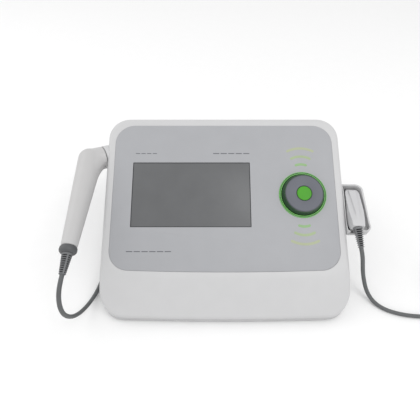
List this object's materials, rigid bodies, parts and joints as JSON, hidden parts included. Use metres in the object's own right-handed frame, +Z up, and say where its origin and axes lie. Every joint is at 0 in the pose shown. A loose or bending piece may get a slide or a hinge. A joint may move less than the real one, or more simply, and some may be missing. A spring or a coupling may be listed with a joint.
{
  "type": "ultrasound therapy device",
  "caption": "Wedge-shaped desktop ultrasound therapy unit with a display, a press-and-turn dial, an angled handpiece in a side socket and a small applicator in a side cradle.",
  "frame": {"origin": "middle of the footprint on the table, measured over the unit and both probes without their free cords", "axes": "+Z up, -Y towards the operator, +X to the operator's right"},
  "size_m": [0.5532, 0.4067, 0.1431],
  "materials": {
    "white_shell": "satin white moulded ABS with a fine grain",
    "base_shell": "satin white moulded ABS",
    "grey_panel": "light grey polycarbonate inlay, fine matt texture",
    "screen_glass": "dark display window, faint gloss",
    "lcd_dark": "display cell and back-light frame",
    "steel_sheet": "plated steel",
    "circuit_board": "green solder resist",
    "ribbon_film": "flat film cable",
    "green_ring": "clear green moulding",
    "dial_dark": "very dark green gloss",
    "dial_grey": "spun grey anodised disc",
    "dial_green": "bright green moulding",
    "black_plastic": "black nylon",
    "pale_plastic": "natural acetal",
    "heat_sink_metal": "extruded aluminium",
    "mains_wire": "brown insulated wire",
    "signal_wire": "grey screened lead",
    "rear_plate": "powder-coated light grey plate",
    "foot_rubber": "soft dark rubber",
    "screw_steel": "plated steel",
    "handpiece_white": "satin white moulded shell",
    "head_metal": "fine turned aluminium",
    "crystal": "fired piezo ceramic",
    "collar_grey": "mid grey moulded collar",
    "relief_rubber": "dark grey soft moulding",
    "applicator_white": "satin white moulded shell",
    "cord_grey": "grey matt cord jacket",
    "plug_grey": "dark grey moulded connector"
  },
  "bodies": {
    "housing": {"upper_cover": "white_shell", "base_tray": "base_shell", "panel_overlay": "grey_panel", "screen_window": "screen_glass", "lcd_module": "lcd_dark", "lcd_bracket": "steel_sheet", "display_board": "circuit_board", "display_ribbon": "ribbon_film", "dial_ring": "green_ring", "encoder_body": "steel_sheet", "encoder_nut": "steel_sheet", "panel_board": "circuit_board", "main_board": "circuit_board", "buzzer": "black_plastic", "driver_board": "circuit_board", "driver_heat_sink": "heat_sink_metal", "power_supply": "circuit_board", "mains_harness": "mains_wire", "output_harness": "signal_wire", "rear_panel": "rear_plate", "mains_inlet": "black_plastic", "rocker_frame": "black_plastic", "output_sockets": "steel_sheet", "socket_nuts": "steel_sheet", "rubber_feet": "foot_rubber", "case_screws": "screw_steel", "rear_panel_screws": "screw_steel", "board_screws": "screw_steel", "cradle_screws": "screw_steel", "holder_cup": "white_shell", "side_cradle": "white_shell", "handpiece_cord": "cord_grey", "handpiece_coil": "cord_grey", "handpiece_cord_tail": "cord_grey", "handpiece_plug": "plug_grey", "applicator_cord": "cord_grey", "applicator_coil": "cord_grey", "applicator_cord_tail": "cord_grey", "applicator_plug": "plug_grey", "coil_ties": "black_plastic"},
    "dial_plunger": {"encoder_plunger": "pale_plastic"},
    "dial": {"encoder_shaft": "steel_sheet", "dial_body": "dial_dark", "dial_face": "dial_grey", "dial_cap": "dial_green"},
    "handpiece": {"handpiece_upper_shell": "handpiece_white", "handpiece_lower_shell": "handpiece_white", "treatment_head": "head_metal", "handpiece_crystal": "crystal", "handpiece_board": "circuit_board", "handpiece_boot": "collar_grey", "handpiece_strain_relief": "relief_rubber"},
    "applicator": {"applicator_upper_shell": "applicator_white", "applicator_lower_shell": "applicator_white", "applicator_head": "head_metal", "applicator_crystal": "crystal", "applicator_strain_relief": "relief_rubber"},
    "fuse_drawer": {"fuse_drawer": "black_plastic"},
    "rocker": {"power_rocker": "black_plastic"}
  },
  "joints": [
    {"name": "dial_press", "type": "slide", "parent": "housing", "child": "dial_plunger", "axis": [0, 0.4695, -0.8829], "range_m": [0, 0.0008], "stiffness_N_per_m": 2500, "springref_m": -0.0012},
    {"name": "dial_turn", "type": "hinge", "parent": "dial_plunger", "child": "dial", "pos_m": [0.1052, 0.01229, 0.09448], "axis": [0, -0.4695, 0.8829], "continuous": true},
    {"name": "handpiece_lift", "type": "slide", "parent": "housing", "child": "handpiece", "axis": [-0.814, -0.5331, 0.2307], "range_m": [0, 0.04]},
    {"name": "applicator_lift", "type": "slide", "parent": "housing", "child": "applicator", "axis": [0, -0.1045, 0.9945], "range_m": [0, 0.045]},
    {"name": "fuse_slide", "type": "slide", "parent": "housing", "child": "fuse_drawer", "axis": [0, 1, 0], "range_m": [0, 0.016]},
    {"name": "rocker_tilt", "type": "hinge", "parent": "housing", "child": "rocker", "pos_m": [0.0476, 0.10945, 0.048], "axis": [1, 0, 0], "range_deg": [0, 18]}
  ]
}
